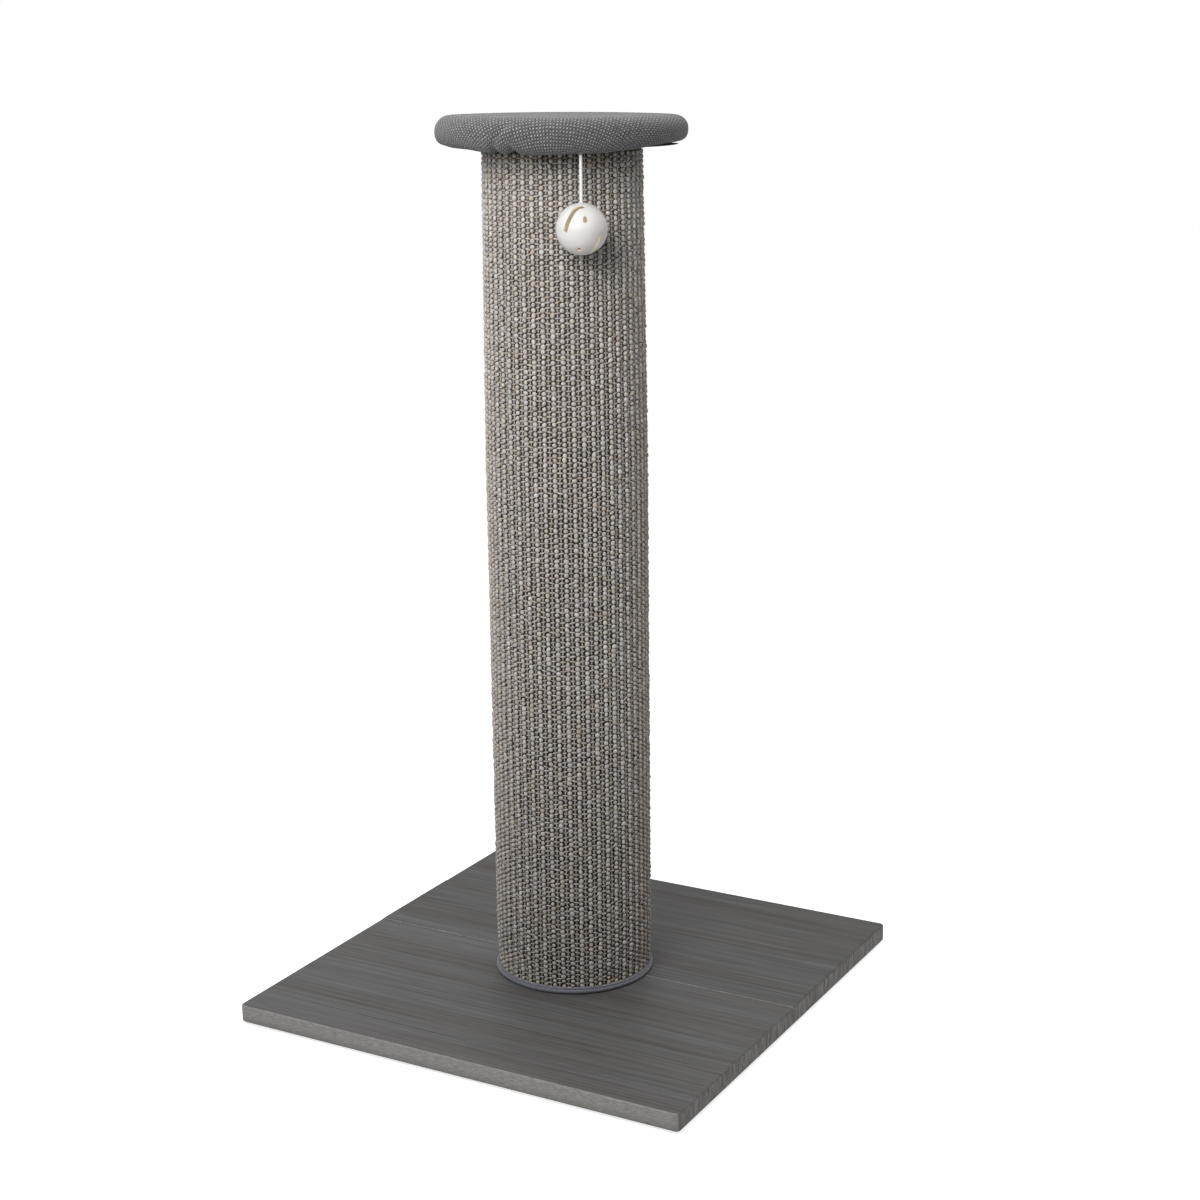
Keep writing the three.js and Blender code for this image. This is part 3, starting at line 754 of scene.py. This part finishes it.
def piping_tape():
    """Blue-grey woven polyester tape over a filler cord: a fine grain, a soft shine."""
    stops = [(0.3, "#464750"), (0.7, "#6b6c74")]
    shader = {"Roughness": 0.65, "Sheen Weight": 0.4}
    bump = (0.5, 0.0003)
    return mottled("woven_polyester_tape", 1100.0, 2.0, stops, shader, bump=bump)


def add_piping():
    """The piping at the sleeve's foot: a round band, a groove and a thin lip."""
    inner = sleeve_radius + 0.3
    middle = post_bottom + piping_band_height / 2
    lip_top = post_bottom + piping_band_height + piping_lip_height
    lip_middle = lip_top - piping_lip_height / 2
    profile = [
        (inner - 2.4, post_bottom + 0.4),
        *arc((inner, middle), (piping_bead, piping_band_height / 2), -90, 62, 16),
        *arc((inner + 0.2, lip_middle), (piping_lip - 0.2, 0.75), -70, 100, 10),
        (inner - 2.4, lip_top - 0.2),
    ]
    shape = turned(profile, 240, closed=True)
    piece = add_piece(
        "foot_piping_tape", shape, piping_tape(), "post", "piping", "foot_piping"
    )


# ---------------------------------------- lid


def lid_fabric():
    """Heathered polyester in plain weave: pale knuckles over a darker weft. The threads
    are drawn a little coarser than life, so that they show at the photograph's size."""
    material, add = new_material("heathered_plain_weave")
    cloth = add("UVMap").outputs[0]
    uneven = add("TexNoise", {"Vector": cloth, "Scale": 90.0, "Detail": 1.0}).outputs[1]
    drift = add("VectorMath", {0: uneven, "Scale": 0.002}, operation="SCALE").outputs[0]
    drifted = add("VectorMath", {0: cloth, 1: drift}).outputs[0]
    scale = (1 / (thread_pitch * MM),) * 3
    thread = add("Mapping", {"Vector": drifted, "Scale": scale}).outputs[0]
    parts = add("SeparateXYZ", {0: thread}).outputs
    waves, sizes = [], []
    for i in (0, 1):
        angle = add("Math", {0: parts[i], 1: math.pi}, operation="MULTIPLY").outputs[0]
        waves.append(add("Math", {0: angle}, operation="SINE").outputs[0])
        sizes.append(add("Math", {0: waves[i]}, operation="ABSOLUTE").outputs[0])
    # A float is round across its thread and long along it: warp where the sines agree.
    floats = []
    for across, along in ((0, 1), (1, 0)):
        flank = add("Math", {0: sizes[across], 1: 0.9}, operation="POWER").outputs[0]
        length = add("Math", {0: sizes[along], 1: 0.45}, operation="POWER").outputs[0]
        both = {0: flank, 1: length}
        floats.append(add("Math", both, operation="MULTIPLY").outputs[0])
    side = add("Math", {0: waves[0], 1: waves[1]}, operation="MULTIPLY").outputs[0]
    warp_on_top = add("Math", {0: side, 1: 0.0}, operation="GREATER_THAN").outputs[0]
    height = {0: warp_on_top, 2: floats[1], 3: floats[0]}
    height = add("Mix", height, data_type="FLOAT").outputs[0]
    # Both ramps start near black where the threads dip: painted shade between the
    # threads.
    warp, weft = (
        add("ValToRGB", {0: height}, stops=[(0.2, "#343435"), palest]).outputs[0]
        for palest in ((0.75, "#929293"), (0.9, "#5e5e5f"))
    )
    yarn = add("Mix", {0: warp_on_top, 6: weft, 7: warp}, **colour_mix).outputs[2]
    slubs = add("TexNoise", {"Vector": thread, "Scale": 1.1, "Detail": 3.0}).outputs[0]
    mottle = add("ValToRGB", {0: slubs}, stops=[(0.3, "#8c8c8e"), (0.7, "#ffffff")])
    shade = add("Mix", {0: 0.8, 6: yarn, 7: mottle.outputs[0]}, **colour_multiply)
    bump = add("Bump", {"Height": height, "Strength": 0.8, "Distance": 0.0006})
    inputs = {"Base Color": shade.outputs[2], "Normal": bump.outputs[0]}
    inputs |= {"Roughness": 0.9, "Sheen Weight": 0.12, "Sheen Roughness": 0.5}
    return finish_material(material, inputs)


def bump_at(azimuths, centre, width):
    """A smooth bump of height 1 round an azimuth, in degrees."""
    away = (azimuths - centre + 180) % 360 - 180
    return np.exp(-((away / width) ** 2))


def add_lid_cover():
    """The fabric cover: crowned top, rounded side, one pleat at the front left, and a
    lower lip that hangs unevenly and lifts at the right."""
    steps = 24
    crown = [
        (rim_centre_radius * i / steps, lid_top - crown_drop * (i / steps) ** 2.4)
        for i in range(steps + 1)
    ]
    rim = (rim_centre_radius, rim_middle)
    side = arc(rim, (rim_bulge, rim_upper_height), 90, 0, 14)[1:]
    lower = arc(rim, (rim_bulge, rim_lower_height), 0, -90, 18)[1:]
    under = [
        (105.6, 864.6),
        (103.6, 865.9),
        (102.2, 867.6),
        (100.6, 869.2),
        (98.0, turn_under_bottom),
        (turn_under_radius, turn_under_bottom),
    ]
    profile = crown + side + lower + under
    shape = turned(profile, 288)
    cover = add_piece(
        "lid_cover_fabric", shape, lid_fabric(), "post", "lid_fabric", "lid_cover"
    )

    # The weave's UVs come from how far a vertex is from the middle, over the cloth.
    line = np.array(profile)
    travelled = np.concatenate([[0], np.cumsum(np.hypot(*np.diff(line, axis=0).T))])
    places = coordinates(cover)
    radius, azimuth = polar(places)
    nearest = np.argmin(
        (radius[:, None] - line[None, :, 0]) ** 2
        + (places[:, 2, None] - line[None, :, 1]) ** 2,
        axis=1,
    )
    reach = travelled[nearest]
    grain = np.radians(azimuth - fabric_grain_azimuth)
    cloth = np.stack([reach * np.cos(grain), reach * np.sin(grain)], axis=1) * MM
    corner = np.empty(len(cover.data.loops), np.int32)
    cover.data.loops.foreach_get("vertex_index", corner)
    layer = cover.data.uv_layers.new(name="cloth")
    layer.data.foreach_set("uv", cloth[corner].astype(np.float32).ravel())

    low = np.clip((rim_middle - places[:, 2]) / rim_lower_height, 0, 1)
    low *= np.clip((radius - 99) / 6, 0, 1)
    side_share = np.clip((radius - 96) / 22, 0, 1) * np.clip(
        (lid_top - 1.2 - places[:, 2]) / 12, 0, 1
    )
    # The lower edge hangs lowest at the front and is drawn up at the sides and back,
    # and two short tucks pull it up at the foot of the pleat.
    drawn_up = np.interp(
        azimuth % 360,
        (0, 10, 50, 62, 78, 100, 130, 180, 230, 280, 310, 335, 350, 360),
        (0, 0, 0.4, 2.0, 5.4, 6.8, 6.8, 4.2, 2.6, 5.2, 5.6, 4.6, 1.6, 0),
    )
    lift = (
        0.35 * np.sin(np.radians(7 * azimuth + 110))
        + 0.25 * np.sin(np.radians(13 * azimuth + 10))
        + 4.6 * bump_at(azimuth, -2.6, 1.7)
        + 4.8 * bump_at(azimuth, 6.4, 2.0)
    )
    places[:, 2] += low**2 * (drawn_up + np.clip(lift, -0.3, 5.0))
    # The filling is a little fuller at the left.
    high = np.clip((places[:, 2] - rim_middle) / rim_upper_height, 0, 1)
    outward = radius / rim_centre_radius
    places[:, 2] -= 1.2 * high * outward * np.cos(np.radians(azimuth - 120))
    # The pleat: a groove that runs down the side and drifts to the left as it goes.
    groove_azimuth = 7.5 - 10.5 * np.clip((894 - places[:, 2]) / 24, 0, 1) ** 0.6
    away = azimuth - groove_azimuth
    groove = 1.1 * bump_at(away, 4, 3.0) - 2.4 * bump_at(away, 0, 1.5)
    uneven = 0.5 * np.sin(np.radians(5 * azimuth + 70))
    push_out(places, side_share * (groove + uneven))
    set_coordinates(cover, places)

    wall = cover.modifiers.new("cloth_wall", "SOLIDIFY")
    wall.thickness = 1.2 * MM
    wall.offset = -1


def black_lining():
    """Spun-bonded black dust cover: matt, with a fine mottle of pressed fibres."""
    stops = [(0.3, "#0c0c0d"), (0.7, "#1e1e20")]
    shader = {"Roughness": 0.9}
    return mottled("black_spunbond", 800.0, 2.0, stops, shader, bump=(0.4, 0.0002))


def soft_foam():
    """Open-cell polyurethane foam: cream, matt, with pores under a millimetre."""
    material, add = new_material("polyurethane_foam")
    place = add("TexCoord").outputs["Object"]
    pores = add("TexVoronoi", {"Vector": place, "Scale": 900.0}).outputs[0]
    # The pores are darker: painted shade in the open cells.
    shade = add("ValToRGB", {0: pores}, stops=[(0.0, "#a89f86"), (0.6, "#ddd6c2")])
    inputs = {"Base Color": shade.outputs[0], "Roughness": 0.95}
    return finish_material(material, inputs)


def add_lid():
    """The cover, the foam cap under it and the lining under the board."""
    add_lid_cover()

    inset = cover_thickness + 0.6
    rim = (rim_centre_radius, rim_middle)
    foam = [
        (0, lid_board_top + 0.3),
        (foam_radius, lid_board_top + 0.3),
        (foam_radius, foam_foot),
        *arc(rim, (rim_bulge - inset, rim_lower_height - inset), -36, 0, 8),
        *arc(rim, (rim_bulge - inset, rim_upper_height - inset), 0, 90, 10)[1:],
        (0, lid_top - 2.4),
    ]
    pad = add_piece(
        "lid_foam_pad", turned(foam, 96), soft_foam(), "post", "foam", "lid_foam"
    )

    # The lining is cut wider at the right, where it shows under the lifted fabric.
    lining_top = lining_bottom + lining_thickness
    edge = lining_radius - 1
    profile = [(5, lining_top), *((r, lining_bottom) for r in (5, 50, 90, edge))]
    profile += [(lining_radius, lining_bottom + lining_thickness / 2)]
    profile += [(edge, lining_top), (50, lining_top)]
    lining = turned(profile, 180, closed=True)
    sheet = add_piece(
        "lid_lining_sheet", lining, black_lining(), "post", "lining", "lid_lining"
    )
    places = coordinates(sheet)
    radius, azimuth = polar(places)
    outer = np.clip((radius - 88) / 11, 0, 1)
    widen = 12.5 * np.clip(1.6 * bump_at(azimuth, 93, 30), 0, 1) * outer
    push_out(places, widen)
    set_coordinates(sheet, places)


# --------------------------------------- ball


def translucent_plastic(name, pale, deep, weight, glow):
    """Moulded polystyrene: satin. Weight is the share of light that spreads inside the
    wall, and glow is painted light: an emission standing in for the light that comes
    through the thin wall from all round."""
    stops = [(0.3, deep), (0.7, pale)]
    shader = {
        "Roughness": 0.52,
        "Specular IOR Level": 0.35,
        "Subsurface Weight": weight,
        "Subsurface Scale": 0.006,
        "Subsurface Radius": (1.0, 0.85, 0.65),
        "IOR": 1.59,
        "Emission Color": colour(pale),
        "Emission Strength": glow,
    }
    return mottled(name, 60.0, 2.0, stops, shader, bump=(0.1, 0.0005))


def drill(shape, way, width, centre):
    """A round cutter through the ball's wall."""
    turn = way.to_track_quat("Z", "Y").to_matrix().to_4x4()
    bmesh.ops.create_cone(
        shape,
        cap_ends=True,
        segments=28,
        radius1=width / 2,
        radius2=width / 2,
        depth=drill_length,
        matrix=Matrix.Translation(centre + way * (ball_radius - 2)) @ turn,
    )


def slot_line(ways):
    """A smooth line of directions through a slot's corner points."""
    steps = 8 * (len(ways) - 1)
    line = []
    for i in range(steps + 1):
        share = i / steps * (len(ways) - 1)
        k = min(int(share), len(ways) - 2)
        before, after = ways[max(k - 1, 0)], ways[min(k + 2, len(ways) - 1)]
        t = share - k
        point = 0.5 * (
            2 * ways[k]
            + (ways[k + 1] - before) * t
            + (2 * before - 5 * ways[k] + 4 * ways[k + 1] - after) * t**2
            + (3 * ways[k] - before - 3 * ways[k + 1] + after) * t**3
        )
        line.append(point.normalized())
    for _ in range(4):
        middle = [
            (before + 2 * here + after).normalized()
            for before, here, after in zip(line, line[1:], line[2:])
        ]
        line = [line[0], *middle, line[-1]]
    return line


def slot_cutter(path, width, opposite):
    """A cutter for one opening: a drill for one point, else a bar with round ends that
    follows the points over the ball. Opposite turns it round the ball, in degrees."""
    centre = Vector((*toy_axis.xy, ball_centre))
    outward = toy_azimuth + opposite
    ways = [direction(outward + azimuth, latitude) for azimuth, latitude in path]
    cutter = bmesh.new()
    if len(ways) == 1:
        drill(cutter, ways[0], width, centre)
        return cutter
    line = slot_line(ways)
    half = width / 2
    first, last = [], []
    for rounded, end, inner in ((first, line[0], line[1]), (last, line[-1], line[-2])):
        onward = (end - inner).normalized()
        for step in range(1, 7):
            angle = math.radians(14.5 * step)
            way = (end + onward * half * math.sin(angle) / ball_radius).normalized()
            rounded.append((way, half * math.cos(angle)))
    # A station is a direction from the ball's middle, and half the slot's width there.
    stations = first[::-1] + [(way, half) for way in line] + last
    sides = []
    for i, (way, reach) in enumerate(stations):
        along = stations[min(i + 1, len(stations) - 1)][0] - stations[max(i - 1, 0)][0]
        sides.append(along.cross(way).normalized() * reach)
    # A slab with a cell between stations is bent over the ball, right through its wall.
    steps = len(stations) - 1
    bmesh.ops.create_grid(cutter, x_segments=steps, y_segments=1, size=1)
    raised = bmesh.ops.extrude_face_region(
        cutter, geom=cutter.faces[:], use_keep_orig=True
    )["geom"]
    corners = [g for g in raised if isinstance(g, bmesh.types.BMVert)]
    bmesh.ops.translate(cutter, vec=(0, 0, 1), verts=corners)
    for corner in cutter.verts:
        i = round((corner.co.x + 1) / 2 * steps)
        level = cutter_outer if corner.co.z > 0.5 else cutter_inner
        corner.co = centre + stations[i][0] * level + sides[i] * round(corner.co.y)
    bmesh.ops.recalc_face_normals(cutter, faces=cutter.faces)
    if cutter.calc_volume(signed=True) < 0:
        bmesh.ops.reverse_faces(cutter, faces=cutter.faces)
    return cutter


def shell_profiles():
    """The upper shell with its cord hole, and the lower shell with its spigot."""
    inner = ball_radius - ball_wall
    hole = cord_diameter / 2 + 0.3
    seam = 0.01
    outer_start = math.degrees(math.asin(seam / ball_radius))
    outer_end = math.degrees(math.acos(hole / ball_radius))
    inner_start = math.degrees(math.asin(seam / inner))
    inner_end = math.degrees(math.acos(hole / inner))
    upper = arc((0, 0), (ball_radius, ball_radius), outer_start, outer_end, 30)
    upper += arc((0, 0), (inner, inner), inner_end, inner_start, 30)
    spigot = math.sqrt(inner**2 - spigot_height**2) - 0.3
    meet = math.degrees(math.acos((spigot - 1) / inner))
    lower = [(0, -ball_radius)]
    lower += arc((0, 0), (ball_radius, ball_radius), -90, -outer_start, 30)[1:]
    lower += [(spigot, -seam), (spigot, spigot_height), (spigot - 1, spigot_height)]
    lower += arc((0, 0), (inner, inner), -meet, -90, 28)[:-1]
    lower += [(0, -inner)]
    return upper, lower


def add_ball():
    """The two moulded half shells, with their slots cut and the edges rounded."""
    outside = translucent_plastic("white_polystyrene", "#cecdca", "#c8c7c4", 0.4, 0.0)
    # The same wall seen from its cut edges and inside, painted warmer and glowing:
    # painted light standing in for the warm light bounced round inside the ball.
    inside = translucent_plastic(
        "polystyrene_inside_painted_warm_glow", "#d2c7b6", "#c8bba9", 0.6, 0.25
    )
    tool = bpy.data.objects.new("slot_cutter", bpy.data.meshes.new("slot_cutter"))
    bpy.context.scene.collection.objects.link(tool)
    joined = bmesh.new()
    for opposite in (0, 180):
        for path, width in (long_slot, short_slot, oval_hole, round_hole):
            cutter = slot_cutter(path, width, opposite)
            cutter.to_mesh(tool.data)
            cutter.free()
            joined.from_mesh(tool.data)
    bmesh.ops.scale(joined, vec=(MM, MM, MM), verts=joined.verts)
    joined.to_mesh(tool.data)
    joined.free()
    centre = Vector((*toy_axis.xy, ball_centre)) * MM
    rim_radius = (ball_radius - 0.2) * MM
    upper, lower = shell_profiles()
    for name, node, profile, closed in (
        ("ball_shell_top", "ball_upper_shell", upper, True),
        ("ball_shell_bottom", "ball_lower_shell", lower, False),
    ):
        shape = turned(profile, 80, closed=closed)
        bmesh.ops.translate(shape, vec=(*toy_axis.xy, ball_centre), verts=shape.verts)
        shell = add_piece(name, shape, outside, None, "ball_plastic", node)
        cut = shell.modifiers.new("slots", "BOOLEAN")
        cut.operation = "DIFFERENCE"
        cut.solver = "EXACT"
        cut.object = tool
        evaluated = shell.evaluated_get(bpy.context.evaluated_depsgraph_get())
        shape = bmesh.new()
        shape.from_mesh(evaluated.to_mesh())
        shell.modifiers.clear()
        # The slots' outer edges are rounded; the seam between the shells stays tight.
        rims = [
            edge
            for edge in shape.edges
            if edge.is_manifold
            and edge.calc_face_angle() > math.radians(50)
            and all((v.co - centre).length > rim_radius for v in edge.verts)
            and not all(abs(v.co.z - centre.z) < slot_edge * MM for v in edge.verts)
        ]
        bmesh.ops.bevel(
            shape,
            geom=rims,
            offset=slot_edge * MM,
            segments=2,
            profile=0.5,
            affect="EDGES",
            material=-1,
            clamp_overlap=True,
        )
        # Faces deeper than the rounded rims take the painted warm glow.
        for face in shape.faces:
            depth = ball_radius - (face.calc_center_median() - centre).length / MM
            face.material_index = int(depth > 1.5 * slot_edge)
        shape.to_mesh(shell.data)
        shape.free()
        shell.data.materials.append(inside)
        shell.data.shade_smooth()
        shell.data.set_sharp_from_angle(angle=math.radians(45))
        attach(shell, "ball")
    bpy.data.objects.remove(tool)


# ---------------------------- hidden hardware


def zinc_plate():
    """Bright zinc plate on steel: pale, slightly blue, with soft reflections."""
    material, add = new_material("zinc_plated_steel")
    place = add("TexCoord").outputs["Object"]
    cloud = add("TexNoise", {"Vector": place, "Scale": 500.0, "Detail": 3.0}).outputs[0]
    shade = add("ValToRGB", {0: cloud}, stops=[(0.3, "#a9adb2"), (0.7, "#c9ccd0")])
    rough = add("MapRange", {"Value": cloud, "To Min": 0.28, "To Max": 0.45})
    inputs = {"Base Color": shade.outputs[0], "Roughness": rough.outputs[0]}
    return finish_material(material, {**inputs, "Metallic": 1.0})


def birch_plywood():
    """Birch plywood: pale, with long grain and streaks the height of a 1.4 mm ply."""
    stops = [(0.3, "#9c7a50"), (0.7, "#cda976")]
    grain = (25, 350, 700)
    return mottled("birch_plywood", 1.0, 4.0, stops, {"Roughness": 0.7}, stretch=grain)


def kraft_tube():
    """Spiral-wound kraft paper tube: brown, matt, fibrous."""
    stops = [(0.3, "#7d6142"), (0.7, "#a58561")]
    return mottled("kraft_paper_tube", 300.0, 4.0, stops, {"Roughness": 0.9})


def polished_brass():
    """Pressed brass sheet: warm, with a light tarnish."""
    stops = [(0.3, "#a5823f"), (0.7, "#c9a55c")]
    shader = {"Metallic": 1.0, "Roughness": 0.32}
    return mottled("pressed_brass", 300.0, 3.0, stops, shader)


def dress_hardware():
    """The hidden CAD nodes keep their shapes."""
    fasteners = ("base_bolt", "base_washer", "bottom_tee_nut", "top_tee_nut")
    dress(zinc_plate(), *fasteners, "lid_stud", "lid_tee_nut")
    dress(birch_plywood(), "bottom_plug", "top_plug", "lid_board")
    dress(kraft_tube(), "core_tube")
    dress(polished_brass(), "ball_bell")


add_camera()
add_studio()
add_cord(braided_cotton())
add_base()
add_sleeve()
add_piping()
add_lid()
add_ball()
dress_hardware()
